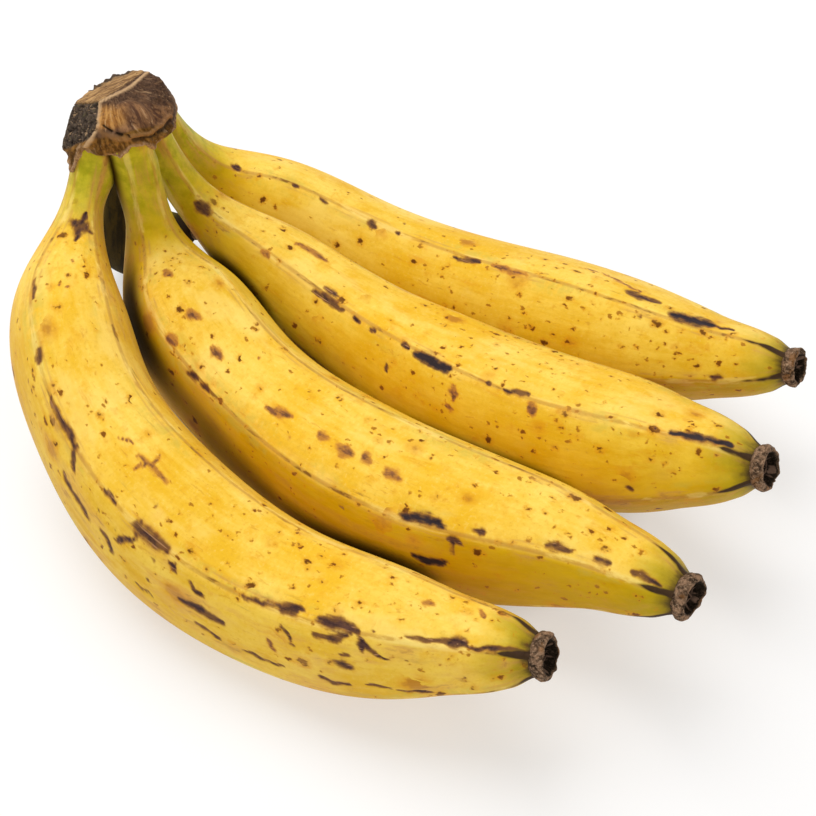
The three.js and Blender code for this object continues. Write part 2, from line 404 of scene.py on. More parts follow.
def mark_field(marks, spine, length, angle, radius):
    """1 in the middle of a mark, 0.5 at its edge and 0 at twice its width."""
    field = np.zeros(len(length))
    for width, *path in marks:
        path = path * 2 if len(path) == 2 else path
        places = spine.lengths(np.array(path[::2]) / 1000)
        angles = np.radians(path[1::2])
        for k in range(len(places) - 1):
            run = places[k + 1] - places[k]
            if 0 <= run < 0.01:
                run = 0.01
            turn = (angles[k + 1] - angles[k]) * radius
            x = length - places[k]
            y = ((angle - angles[k] + math.pi) % (2 * math.pi) - math.pi) * radius
            share = np.clip((x * run + y * turn) / (run * run + turn * turn), 0, 1)
            away = np.hypot(x - share * run, y - share * turn)
            taper = 1 - 0.4 * np.abs(2 * (k + share) / (len(places) - 1) - 1) ** 2
            field = np.maximum(field, 1 - away / (width * taper))
    return np.clip(field, 0, 1)


def gap_to_neighbours(name, points):
    """How far each point is from the nearest of the other fingers, in mm."""
    gap = np.full(len(points), 1e9)
    for other, finger in FINGERS.items():
        if other == name:
            continue
        centre, radius, *_ = Spine(finger).at(np.linspace(0.1, 1, 110))
        away = np.sqrt(np.maximum(squares_between(points, centre), 0))
        gap = np.minimum(gap, (away - radius).min(1))
    return gap


def inside_box(points):
    """Keeps points, in mm, inside the CAD model's box."""
    low, high = (np.array(corner) / MM for corner in cad_box)
    return np.clip(points, low + (0.01, 0.01, 0), high - 0.01)


def facet_facing(angle, roll, across, outward):
    """Which way the peel faces, as if each of its five sides were nearly flat."""
    side = 2 * math.pi / RIDGES
    from_middle = ((angle - roll) / side) % 1 - 0.5
    flat = 0.75 * smooth(np.abs(from_middle), 0.5, 0.4)
    turned = angle - from_middle * side * flat
    return across * np.cos(turned)[:, None] + outward * np.sin(turned)[:, None]


def finger_marks(name, spine, wrapped, angle, radius):
    """A finger's bruises, scars and blotches, with outlines made wavy by noise."""
    length = wrapped[:, 0] + 1.1 * noise_field(wrapped, 3.2, 1)
    angle = angle + 0.9 * noise_field(wrapped, 2.7, 2) / np.maximum(radius, 4)
    return [mark_field(marks.get(name, []), spine, length, angle, radius)
            for marks in (BRUISES, BLACK_SCARS, BROWN_BLOTCHES)]


def make_finger(name, finger, grid):
    spine = Spine(finger)
    mesh, u, v = rolled_grid(name, grid)
    cap = 1.5 / grid[0]
    t = np.clip((v - cap) / (1 - 2 * cap), 0, 1)
    centre, radius, _, across, outward = spine.at(t)
    angle = u * 2 * math.pi + spine.roll
    length = spine.lengths(t)
    tip = spine.lengths(np.ones(1))[0] - length
    wrapped = np.stack([length, radius * np.cos(angle), radius * np.sin(angle)], 1)
    facing = across * np.cos(angle)[:, None] + outward * np.sin(angle)[:, None]

    crest = 1 - np.sqrt(np.sin(RIDGES / 2 * (angle - spine.roll)) ** 2 + 0.005)
    sharp = RIDGE_HEIGHT * (1 + 0.5 * smooth(t, 0.85, 1) + 0.3 * smooth(t, 0.25, 0.05))
    reach = pinch_poles(v, radius * (1 + sharp * (crest - 0.59)))
    reach += TIP_SHOULDER * smooth(tip, 0, 6) * smooth(tip, 26, 9)
    for side, swell, start, whole, fade, gone in STALK_SWELLS.get(name, []):
        swollen = smooth(t, start, whole) * smooth(t, gone, fade)
        reach += swell * swollen * np.maximum(side * facing[:, 0], 0) ** 1.5
    reach += (0.3 * noise_field(wrapped * (0.5, 1, 1), 14, 3) - 0.3) * smooth(t, 0, 0.1)
    bruise, scar, blotch = finger_marks(name, spine, wrapped, angle, radius)
    reach -= MARK_DEPTH * np.maximum(bruise, scar)
    place = inside_box(around(centre, across, outward, angle, reach))
    write_points(mesh, place)

    # Painted shade: how much each part of the peel is a flank or an underside, by the way its nearly flat
    # side faces
    flat = facet_facing(angle, spine.roll, across, outward)[:, 2]
    depth = FLANK_SHADE_STRENGTH.get(name, 1)
    shade_width = np.interp(t, *zip(*CREVICE[name]))
    crevice = smooth(gap_to_neighbours(name, place), shade_width, 0.8) * smooth(facing[:, 2], 0.85, 0.3)
    set_attributes(
        mesh, peel=wrapped * MM, along=t, tip=tip, bruise=bruise, scar=scar, blotch=blotch, crevice=crevice,
        ridge=np.abs((u * RIDGES + 0.5) % 1 - 0.5) / RIDGES * 2 * math.pi * radius,
        inner=smooth(facing[:, 1] - 0.5 * facing[:, 0], 0.55, -0.25),
        under=smooth(flat, 0.5, -0.25) * depth,
        flank=smooth(flat, FLANK_SHADE_START.get(name, 0.72), 0.3) * depth,
        rubbed=smooth(flat, 0.62, 0.2) * RUBBED.get(name, 0))
    close_up(mesh)
    return new_object(f"peel_{name[-1]}", mesh)


def tone(r, g, b):
    """A colour written as on a screen, from 0 to 255, as the light that the shader works in."""
    def linear(c):
        c /= 255
        return c / 12.92 if c <= 0.04045 else ((c + 0.055) / 1.055) ** 2.4
    return (linear(r), linear(g), linear(b), 1.0)


class Shader:
    """One material and short ways to add nodes to it."""

    def __init__(self, name):
        self.material = bpy.data.materials.new(name)
        self.material.use_nodes = True
        self.tree = self.material.node_tree
        self.surface = self.tree.nodes["Principled BSDF"]

    def node(self, kind, inputs=None, **settings):
        made = self.tree.nodes.new("ShaderNode" + kind)
        for key, value in settings.items():
            setattr(made, key, value)
        self.feed(made, inputs or {})
        return made

    def feed(self, node, inputs):
        for key, value in inputs.items():
            if isinstance(value, bpy.types.NodeSocket):
                self.tree.links.new(value, node.inputs[key])
            else:
                node.inputs[key].default_value = value

    def finish(self, colour, roughness, normal, gloss, gloss_tint=(255, 255, 255)):
        self.feed(self.surface, {
            "Base Color": colour, "Roughness": roughness, "Normal": normal,
            "Specular IOR Level": gloss, "Specular Tint": tone(*gloss_tint)})
        return self.material

    def attribute(self, name, vector=False):
        made = self.node("Attribute", attribute_name=name)
        return made.outputs["Vector" if vector else "Fac"]

    def noise(self, vector, scale, detail=4.0, roughness=0.55, drawn=None):
        """Soft noise; drawn out along the finger where its share of that length is given."""
        if drawn:
            vector = self.stretched(vector, (drawn, 1, 1))
        inputs = {"Vector": vector, "Scale": scale, "Detail": detail, "Roughness": roughness}
        return self.node("TexNoise", inputs).outputs["Fac"]

    def stretched(self, vector, scale):
        return self.node("Mapping", {"Vector": vector, "Scale": scale}).outputs["Vector"]

    def vector_math(self, operation, inputs):
        return self.node("VectorMath", inputs, operation=operation).outputs

    def warped(self, vector, scale, amount):
        """The same place, shaken by noise, for ragged outlines."""
        cloud = self.node("TexNoise", {"Vector": vector, "Scale": scale, "Detail": 3.0})
        shift = self.vector_math("SUBTRACT", {0: cloud.outputs["Color"], 1: (0.5, 0.5, 0.5)})[0]
        shift = self.vector_math("SCALE", {0: shift, "Scale": amount})[0]
        return self.vector_math("ADD", {0: vector, 1: shift})[0]

    def dots(self, vector, scale, crowd, size, soft, halo):
        """Spots of many sizes, and their halos. Crowd is the share of cells with one, the rest in cells."""
        cells = self.node("TexVoronoi", {"Vector": vector, "Scale": scale})
        chance = self.node("SeparateColor", {"Color": cells.outputs["Color"]})
        chosen = self.math("LESS_THAN", chance.outputs[0], crowd)
        grown = self.times(self.math("POWER", chance.outputs[1], 2.0), size)
        left = self.minus(self.plus(grown, size * 0.4), cells.outputs["Distance"])
        spot = self.times(self.step(left, -soft, soft), chosen)
        return spot, self.times(self.step(left, -halo, 0), chosen)

    def step(self, value, low, high, to_low=0.0, to_high=1.0):
        inputs = {"Value": value, "From Min": low, "From Max": high, "To Min": to_low, "To Max": to_high}
        return self.node("MapRange", inputs, interpolation_type="SMOOTHSTEP").outputs["Result"]

    def math(self, operation, a, b=0.0, clamp=False):
        return self.node("Math", {0: a, 1: b}, operation=operation, use_clamp=clamp).outputs[0]

    def plus(self, a, b, clamp=False):
        return self.math("ADD", a, b, clamp)

    def minus(self, a, b, clamp=False):
        return self.math("SUBTRACT", a, b, clamp)

    def times(self, a, b):
        return self.math("MULTIPLY", a, b)

    def mix(self, amount, a, b):
        return self.node("Mix", {0: amount, 6: a, 7: b}, data_type="RGBA").outputs[2]

    def between(self, amount, first, second):
        return self.mix(amount, tone(*first), tone(*second))

    def lay(self, colour, part, amount, paint):
        """A tone laid over part of a colour, by an amount."""
        return self.mix(self.times(part, amount), colour, tone(*paint))

    def grade(self, value, low, high, first, second):
        """One tone that turns into another as a value goes from low to high."""
        return self.between(self.step(value, low, high), first, second)

    def cover(self, colour, value, low, high, amount, paint):
        """A tone laid over a colour, up to an amount, as a value goes from low to high."""
        return self.mix(self.step(value, low, high, 0, amount), colour, tone(*paint))

    def bump(self, height, distance, strength, below=None):
        inputs = {"Height": height, "Distance": distance, "Strength": strength}
        if below is not None:
            inputs["Normal"] = below
        return self.node("Bump", inputs).outputs["Normal"]


def ground_colour(s, peel, lengthwise):
    """Yellow, cloudy and streaked along the finger, with painted shade in deeper yellows on its flanks and
    underneath.
    """
    cloud = s.noise(peel, 42, 4)
    streak = s.noise(lengthwise, 330, 5, 0.6)
    grain = s.noise(peel, 800, 5, 0.65)
    depth = s.plus(s.times(cloud, 0.65), s.times(streak, 0.35))
    colour = s.grade(depth, 0.36, 0.64, (252, 213, 96), (238, 186, 44))
    colour = s.cover(colour, s.noise(peel, 150, 5, 0.6), 0.52, 0.72, 0.6, (236, 174, 40))
    colour = s.cover(colour, grain, 0.5, 0.75, 0.45, (218, 160, 44))
    colour = s.cover(colour, grain, 0.46, 0.3, 0.22, (255, 230, 140))
    pale = s.times(s.step(s.noise(peel, 85, 4, drawn=0.45), 0.5, 0.66), 0.4)
    colour = s.mix(pale, colour, tone(255, 224, 126))
    # Painted shade: a deeper yellow on the flanks and a darker, browner one underneath
    flank_shade_tone = s.grade(depth, 0.36, 0.64, (234, 190, 6), (216, 166, 0))
    colour = s.mix(s.times(s.attribute("flank"), 0.9), colour, flank_shade_tone)
    shade = s.between(streak, (206, 160, 0), (168, 126, 0))
    return s.mix(s.times(s.attribute("under"), 0.9), colour, shade), grain


def green_parts(s, colour, peel, lengthwise, along, ridge):
    """Green left at the stalk, behind the flower end and in patches along the ridges."""
    drift = s.noise(lengthwise, 120, 4)
    mottle = s.noise(peel, 210, 5, 0.65)
    patch = s.times(s.step(drift, 0.48, 0.62), s.step(ridge, 7.0, 1.5))
    patch = s.times(patch, s.step(mottle, 0.36, 0.6))
    colour = s.lay(colour, patch, 0.6, (204, 182, 76))
    stalk = s.step(s.plus(along, s.times(drift, 0.08)), 0.31, 0.19)
    green = s.grade(mottle, 0.35, 0.65, (204, 194, 46), (166, 164, 24))
    colour = s.mix(s.times(stalk, 0.95), colour, green)
    tip = s.step(s.plus(s.attribute("tip"), s.times(drift, 16)), 22, 9)
    return s.mix(s.times(tip, 0.85), colour, s.between(mottle, (200, 172, 26), (150, 132, 20)))


def ridge_lines(s, colour, lengthwise, ridge):
    """Thin tan lines on the ridges, broken by darker dashes, and a painted highlight along their crests."""
    broken = s.noise(lengthwise, 210, 5, 0.6)
    line = s.times(s.step(ridge, 1.0, 0.2), s.step(broken, 0.4, 0.52))
    colour = s.lay(colour, line, 0.6, (186, 134, 62))
    dash = s.times(s.step(ridge, 0.8, 0.25), s.step(broken, 0.52, 0.62))
    dash = s.times(dash, s.step(s.noise(s.stretched(lengthwise, (2.5, 1, 1)), 380, 3), 0.48, 0.58))
    colour = s.lay(colour, dash, 0.8, (104, 62, 28))
    beside = s.times(s.step(s.math("ABSOLUTE", s.minus(ridge, 1.9)), 0.5, 0.1),
                    s.step(s.noise(lengthwise, 260, 4), 0.5, 0.6))
    colour = s.lay(colour, beside, 0.45, (204, 152, 76))
    # Painted highlight: a pale, broken line along each ridge's crest
    crest = s.times(s.step(ridge, 1.5, 0.6), s.step(broken, 0.5, 0.4))
    return s.lay(colour, crest, 0.4, (252, 228, 140))


def freckles(s, colour, peel, lengthwise, along, ridge):
    """Orange clouds, ragged brown spots and small dark freckles, thickest near the ridges."""
    ragged = s.warped(s.stretched(peel, (0.75, 1, 1)), 640, 0.0026)
    crowd = s.step(s.noise(peel, 34, 3), 0.38, 0.62)
    body = s.step(along, 0.17, 0.27)
    orange = s.step(s.noise(lengthwise, 170, 6, 0.7), 0.57, 0.7)
    orange = s.times(orange, s.step(s.noise(peel, 60, 3), 0.4, 0.6))
    colour = s.lay(colour, orange, 0.6, (222, 150, 26))
    for scale, share, size, soft, halo, strength, shade in FRECKLES:
        share = s.times(s.plus(0.2, crowd), share)
        dot, ring = s.dots(ragged, scale, share, size, soft, halo)
        colour = s.lay(colour, s.times(ring, body), 0.5, (220, 146, 28))
        colour = s.lay(colour, s.times(dot, body), strength, shade)
    streak = s.step(s.noise(peel, 480, 4, drawn=0.1), 0.62, 0.7)
    streak = s.times(streak, s.step(ridge, 7.0, 2.0))
    streak = s.times(streak, s.step(s.noise(peel, 110, 3), 0.5, 0.62))
    colour = s.lay(colour, streak, 0.6, (150, 98, 50))
    hair = s.step(s.noise(s.warped(peel, 300, 0.002), 900, 3, drawn=0.14), 0.61, 0.72, 0, 0.5)
    hair = s.times(hair, s.step(s.noise(peel, 75, 3), 0.46, 0.62))
    colour = s.mix(hair, colour, tone(206, 138, 40))
    return scuffs(s, colour, peel, ridge)


def scuffs(s, colour, peel, ridge):
    """Tan rubbed streaks with dusky middles, on the lower flanks and beside the ridges."""
    streak = s.noise(s.warped(peel, 200, 0.003), 260, 5, 0.62, drawn=0.16)
    patch = s.step(s.noise(peel, 58, 3), 0.4, 0.56, 0.25, 1)
    beside_ridge = s.step(ridge, 4.0, 1.0, 0, 0.4)
    where = s.times(patch, s.plus(s.attribute("rubbed"), beside_ridge, clamp=True))
    colour = s.lay(colour, s.step(streak, 0.4, 0.6, 0, 0.6), where, (222, 166, 84))
    colour = s.lay(colour, s.step(streak, 0.56, 0.66, 0, 0.6), where, (176, 124, 66))
    return s.lay(colour, s.step(streak, 0.65, 0.74, 0, 0.8), where, (104, 70, 52))


def frayed_mark(s, name, edge):
    mark = s.attribute(name)
    return s.plus(mark, s.times(edge, s.step(mark, 0.0, 0.35)))


def bruised(s, colour, peel):
    """Blotches, bruises and black scars with streaky edges, crossed by pale scratches."""
    frayed = s.times(s.minus(s.noise(peel, 480, 4, 0.55, drawn=0.1), 0.5), 1.25)
    edge = s.plus(frayed, s.times(s.minus(s.noise(peel, 520, 4, 0.6), 0.5), 0.6))
    speck = s.noise(peel, 700, 4, 0.6, drawn=0.35)
    scratch = s.step(s.noise(peel, 1000, 2, drawn=0.05), 0.6, 0.68)

    blotch = frayed_mark(s, "blotch", edge)
    flecked = s.noise(peel, 460, 4, 0.6, drawn=0.6)
    colour = s.cover(colour, blotch, 0.0, 0.5, 0.55, (220, 146, 44))
    colour = s.cover(colour, blotch, 0.1, 0.8, 0.8, (188, 122, 54))
    tan = s.grade(speck, 0.35, 0.65, (84, 52, 48), (132, 84, 60))
    fleck = s.times(s.step(flecked, 0.42, 0.6, 0.25, 1), s.step(blotch, 0.3, 0.85, 0, 0.9))
    colour = s.mix(fleck, colour, tan)
    bruise = frayed_mark(s, "bruise", edge)
    colour = s.cover(colour, bruise, 0.0, 0.5, 0.6, (186, 124, 46))
    colour = s.cover(colour, bruise, 0.15, 0.75, 0.85, (116, 74, 48))
    dusky = s.grade(speck, 0.35, 0.7, (44, 31, 42), (92, 62, 56))
    uneven = s.step(s.noise(peel, 420, 4, 0.6, drawn=0.4), 0.36, 0.58, 0.3, 1)
    colour = s.mix(s.times(s.step(bruise, 0.36, 0.95, 0, 0.97), uneven), colour, dusky)
    colour = s.lay(colour, s.step(bruise, 0.4, 0.7, 0, 0.65), scratch, (190, 140, 96))
    scar = frayed_mark(s, "scar", edge)
    colour = s.cover(colour, scar, 0.0, 0.5, 0.85, (140, 90, 50))
    return s.mix(s.step(scar, 0.26, 0.8), colour, s.between(speck, (28, 24, 34), (64, 54, 62))), edge


def peel_material():
    s = Shader("ripe peel")
    peel = s.attribute("peel", vector=True)
    along = s.attribute("along")
    ridge = s.attribute("ridge")
    lengthwise = s.stretched(peel, (0.16, 1, 1))
    colour, grain = ground_colour(s, peel, lengthwise)
    colour = green_parts(s, colour, peel, lengthwise, along, ridge)
    colour = ridge_lines(s, colour, lengthwise, ridge)
    colour = freckles(s, colour, peel, lengthwise, along, ridge)
    colour, edge = bruised(s, colour, peel)

    # Dark skin that runs back from the flower end along the ridges, and shade where fingers meet
    narrowing = s.minus(1.0, s.math("DIVIDE", ridge, 1.15), clamp=True)
    wedge = s.times(narrowing, s.step(s.noise(peel, 70, 2), 0.36, 0.64, 2, 12))
    dried = s.minus(s.minus(s.attribute("tip"), wedge), s.times(edge, 3.5))
    colour = s.cover(colour, dried, 5.5, 0.8, 0.6, (120, 98, 30))
    black = s.between(grain, (30, 20, 22), (70, 50, 44))
    colour = s.mix(s.step(dried, 2.8, -0.6, 0, 0.95), colour, black)
    crevice = s.step(s.attribute("crevice"), 0.1, 0.95)
    colour = s.lay(colour, crevice, 0.97, (42, 25, 0))
    rough = s.plus(s.plus(0.42, s.times(grain, 0.22)), s.times(crevice, 0.4), clamp=True)
    normal = s.bump(grain, 0.00015, 0.6, below=s.bump(s.noise(lengthwise, 200, 5), 0.0008, 0.4))
    return s.finish(colour, rough, normal, 0.14, (255, 216, 90))


def inner_peel_material():
    """The dull olive-brown of the small finger behind the others, near-black with painted shade on the side
    that faces the other fingers.
    """
    s = Shader("shaded peel")
    peel = s.attribute("peel", vector=True)
    streak = s.noise(peel, 380, 5, 0.6, drawn=0.12)
    speck = s.noise(peel, 900, 5, 0.65)
    green = s.grade(s.noise(peel, 90, 4), 0.36, 0.64, (150, 140, 30), (112, 114, 26))
    green = s.cover(green, speck, 0.58, 0.68, 0.75, (84, 56, 24))
    green = s.cover(green, streak, 0.56, 0.66, 0.5, (176, 150, 52))
    # Painted shade: near-black olive on the side that faces the other fingers
    shaded_olive = s.grade(streak, 0.38, 0.62, (58, 44, 4), (34, 25, 2))
    shaded_olive = s.cover(shaded_olive, speck, 0.56, 0.7, 0.7, (24, 16, 4))
    colour = s.mix(s.attribute("inner"), green, shaded_olive)
    colour = s.cover(colour, s.attribute("ridge"), 1.0, 0.2, 0.5, (92, 68, 18))
    colour = s.cover(colour, s.attribute("tip"), 7, 1, 0.9, (44, 34, 26))
    normal = s.bump(speck, 0.0002, 0.6, below=s.bump(streak, 0.0006, 0.4))
    return s.finish(colour, 0.8, normal, 0.06)


ripe = (FINGER_GRID, peel_material(), "peel")
small = (SMALL_FINGER_GRID, inner_peel_material(), "green_peel")
for name, finger in FINGERS.items():
    grid, material, slot = small if name == "plantain_5" else ripe
    finish_piece(make_finger(name, finger, grid), material, name)


# Crown

def skin_end(name, angle, place):
    """How far down a stalk the crown's skin reaches, ragged at its edge."""
    degrees = (np.degrees(angle) + 180) % 360 - 180
    angles, shares = zip(*SKIN_ENDS[name])
    end = np.interp(degrees, angles, shares) + 0.0025 * noise_field(place, 2.2, 5)
    return end + 0.001 * noise_field(place, 0.8, 6)


def sleeve(name, finger):
    """The crown's skin where it runs down a stalk, closed at both ends."""
    spine = Spine(finger)
    mesh, u, v = rolled_grid("sleeve", SLEEVE_GRID)
    angle = u * 2 * math.pi
    rim = spine.points[0] + 6 * np.stack([np.cos(angle), np.sin(angle), 0 * angle], 1)
    t = np.clip(v * 1.12 - 0.02, 0, 1) * skin_end(name, angle, rim)
    centre, radius, _, across, outward = spine.at(t)
    reach = pinch_poles(v, radius + SKIN_THICKNESS - 2.4 * smooth(v, 0.93, 1.0))
    write_points(mesh, around(centre, across, outward, angle, reach))
    close_up(mesh)
    return mesh


def crown_block():
    """The CAD crown with a sleeve down each stalk, grown together into one fine skin."""
    mesh = bpy.data.meshes.new("crown skin")
    with shaping(mesh) as bm:
        bm.from_mesh(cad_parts["crown"].data)
        bmesh.ops.remove_doubles(bm, verts=bm.verts, dist=0.00002)
        for name, finger in FINGERS.items():
            bm.from_mesh(sleeve(name, finger))
    obj = new_object("crown_skin", mesh)
    remesh = obj.modifiers.new("skin", "REMESH")
    remesh.mode = "VOXEL"
    remesh.voxel_size = CROWN_VOXEL * MM
    fine = bpy.data.meshes.new_from_object(obj.evaluated_get(bpy.context.evaluated_depsgraph_get()))
    obj.modifiers.clear()
    obj.data = fine
    return obj


def relax(mesh, rounds):
    with shaping(mesh) as bm:
        for _ in range(rounds):
            bmesh.ops.smooth_vert(
                bm, verts=bm.verts, factor=0.5, use_axis_x=True, use_axis_y=True, use_axis_z=True)


def against_stalk(points, finger, share):
    """A stalk's nearest station, middle and radius for each point, and its way, distance and angle."""
    stations = np.linspace(0, share, round(STATIONS * share))
    centre, radius, _, across, outward = Spine(finger).at(stations)
    k = squares_between(points, centre).argmin(1)
    away = points - centre[k]
    angle = np.arctan2((away * outward[k]).sum(1), (away * across[k]).sum(1))
    return stations[k], centre[k], radius[k], away, np.linalg.norm(away, axis=1), angle


def hug_stalks(points):
    """Draws the crown's lower edge in to the stalks, so that its skin ends in a thin scalloped line."""
    best = np.full(len(points), 1e9)
    moved = points.copy()
    ended = np.zeros(len(points))
    for name, finger in FINGERS.items():
        t, centre, radius, away, far, angle = against_stalk(points, finger, 0.26)
        end = skin_end(name, angle, points)
        clear = far - radius
        snug = smooth(t, end - 0.045, end) * smooth(clear, 4.5, 1.2)
        reach = far + snug * 0.75 * (radius + SKIN_THICKNESS - far)
        under = smooth(t, end, end + 0.007) * smooth(clear, 4.8, 2.8)
        reach += under * (radius - 1.3 - reach)
        nearer = clear < best
        best = np.where(nearer, clear, best)
        target = centre + away * (reach / np.maximum(far, 1e-6))[:, None]
        moved = np.where(nearer[:, None], target, moved)
        ended = np.where(nearer, smooth(t, end - 0.012, end - 0.002) * smooth(clear, 5, 2), ended)
    return moved, ended


def stay_outside(points):
    """Keeps the crown's skin a little outside the stalks that it covers."""
    for name, finger in FINGERS.items():
        t, _, radius, away, far, angle = against_stalk(points, finger, 0.14)
        end = skin_end(name, angle, points)
        short = np.maximum(radius + 0.4 - far, 0) * smooth(t, end - 0.003, end - 0.012)
        points = points + away * (short / np.maximum(far, 1e-6))[:, None]
    return points


def faces_way(facing, way, level, soft=0.1):
    """1 where the surface faces a cut direction, given as right, up and towards the viewer."""
    way = np.array(way, float)
    return smooth(facing @ (way / np.linalg.norm(way)), level - soft, level + soft)


def near_line(local, line, width):
    """1 on a line drawn in the photograph's plane, fading over its width in mm."""
    best = np.full(len(local), 1e9)
    for start, end in zip(line[:-1], line[1:]):
        run = np.subtract(end, start)
        away = local[:, :2] - start
        share = np.clip(away @ run / (run @ run), 0, 1)
        best = np.minimum(best, np.linalg.norm(away - share[:, None] * run, axis=1))
    return smooth(best, width, 0.15 * width)


def crown_fibres(local, top):
    """Where the fibres run: straight in the cut on top, and fanned out from their root elsewhere."""
    right, up = local[:, 0] - FIBRE_ROOT[0], local[:, 1] - FIBRE_ROOT[1]
    fan = np.stack([np.arctan2(up, right) * 13, np.hypot(up, right) * 0.14, local[:, 2] * 0.3], 1)
    straight = local - 0.9 * (local @ CUT_GRAIN)[:, None] * CUT_GRAIN
    return straight * top[:, None] + fan * (1 - top)[:, None]


def crown_parts(local, facing, rough, wobble):
    """How much each point belongs to each face and line of the crown, from 0 to 1."""
    r, up, near = local.T
    front = smooth(facing[:, 2], -0.1, 0.3)
    top = faces_way(facing, (-0.42, 0.9, 0.1), 0.8)
    left = faces_way(facing, (-0.8, 0.1, 0.6), 0.72) * smooth(r + 0.4 * wobble, -3.9, -4.9)
    left *= smooth(up - 0.15 * r + 0.4 * wobble, -8.0, -6.9)
    low = smooth(up + 0.3 * rough - 0.16 * np.maximum(r, 0) ** 1.35, -8.0, -9.0) * (1 - left)
    face = faces_way(facing, (0.4, 0.35, 0.85), 0.6, 0.15) * smooth(r, -5.0, -4.2)
    face = face * (1 - low) * (1 - top)
    border = near_line(local, PALE_BORDER, 1.1) * (1 - top)
    lip_shadow = near_line(local - np.array((0.3, -1.1, 0)), FACE_LIP, 1.1)
    return {
        "front": front, "top": top, "left": left, "low": low, "face": face,
        "crack": near_line(local, FACE_CRACK, 0.75) * smooth(wobble, -0.6, -0.1) * front,
        "lip": near_line(local, FACE_LIP, 1.0) * front,
        "below_lip": lip_shadow * smooth(wobble, -0.9, -0.3) * front,
        "pale": np.maximum(near_line(local, CUT_EDGE, 0.9), border) * front,
        "foot": near_line(local, BORDER_FOOT, 1.2) * front,
        "rim": near_line(local, BARK_RIM, 2.2) * smooth(near, -9, -13),
        "gold": face * smooth(np.hypot(0.75 * (r + 1.0), up + 2.6) + 0.8 * rough, 5.6, 1.8),
        "dusk": face * smooth(up - 0.12 * r + 0.9 * wobble + 0.8 * rough, -0.6, 3.6),
    }


def make_crown():
    obj = crown_block()
    mesh = obj.data
    relax(mesh, 3)
    points, ended = hug_stalks(read_points(mesh) / MM)
    write_points(mesh, points)
    relax(mesh, 2)
    mesh.update()
    points = read_points(mesh) / MM
    normals = read_points(mesh, "normal")
    view = np.stack([RIGHT, RISE, TOWARDS], 1)
    local = (points - CROWN_CENTRE) @ view

    rough = noise_field(local, 4.5, 11)
    wobble = noise_field(local, 1.7, 12)
    fine = noise_field(local, 0.75, 13)
    crease = np.abs(noise_field(local @ CREASE_WAYS, 1.6, 15))
    parts = crown_parts(local, normals @ view, rough, wobble)
    front, top, left, low, face = (parts[key] for key in ("front", "top", "left", "low", "face"))
    fibre = crown_fibres(local, top)
    strand = noise_field(fibre, 0.9, 14)

    lift = 0.3 * rough + 0.2 * wobble + 0.12 * fine - 0.25
    lift += 0.35 * strand * (0.35 + top + 0.6 * face + 0.5 * low)
    relief = sum(height * parts[key] for key, height in CROWN_RELIEF.items())
    relief += CREASE_RELIEF * left * smooth(crease, 0.16, 0)
    relief += TORN_RIM * parts["rim"] * np.maximum(wobble + 0.25, 0)
    lift += relief
    lift += 0.5 * ended
    lift *= 1 - 0.8 * smooth(local[:, 1], -12, -15) * (1 - front)
    lift = np.minimum(lift, 0.1 + 10 * smooth(points[:, 2], CROWN_TOP[1], CROWN_TOP[0]))
    write_points(mesh, stay_outside(points + normals * lift[:, None]))
    set_attributes(
        mesh, top=top, left=left, face=face, low=low, ended=ended, crease=left * smooth(crease, 0.14, 0.02),
        # The crack's near-black also takes in a painted shadow under the face's lower lip
        crack=np.maximum(parts["crack"], 0.8 * parts["below_lip"]),
        foot=np.maximum(parts["foot"], parts["lip"]),
        pale=parts["pale"], rim=parts["rim"], gold=parts["gold"], dusk=parts["dusk"],
        local=local * MM, fibre=fibre * MM)
    mesh.update()
    return obj


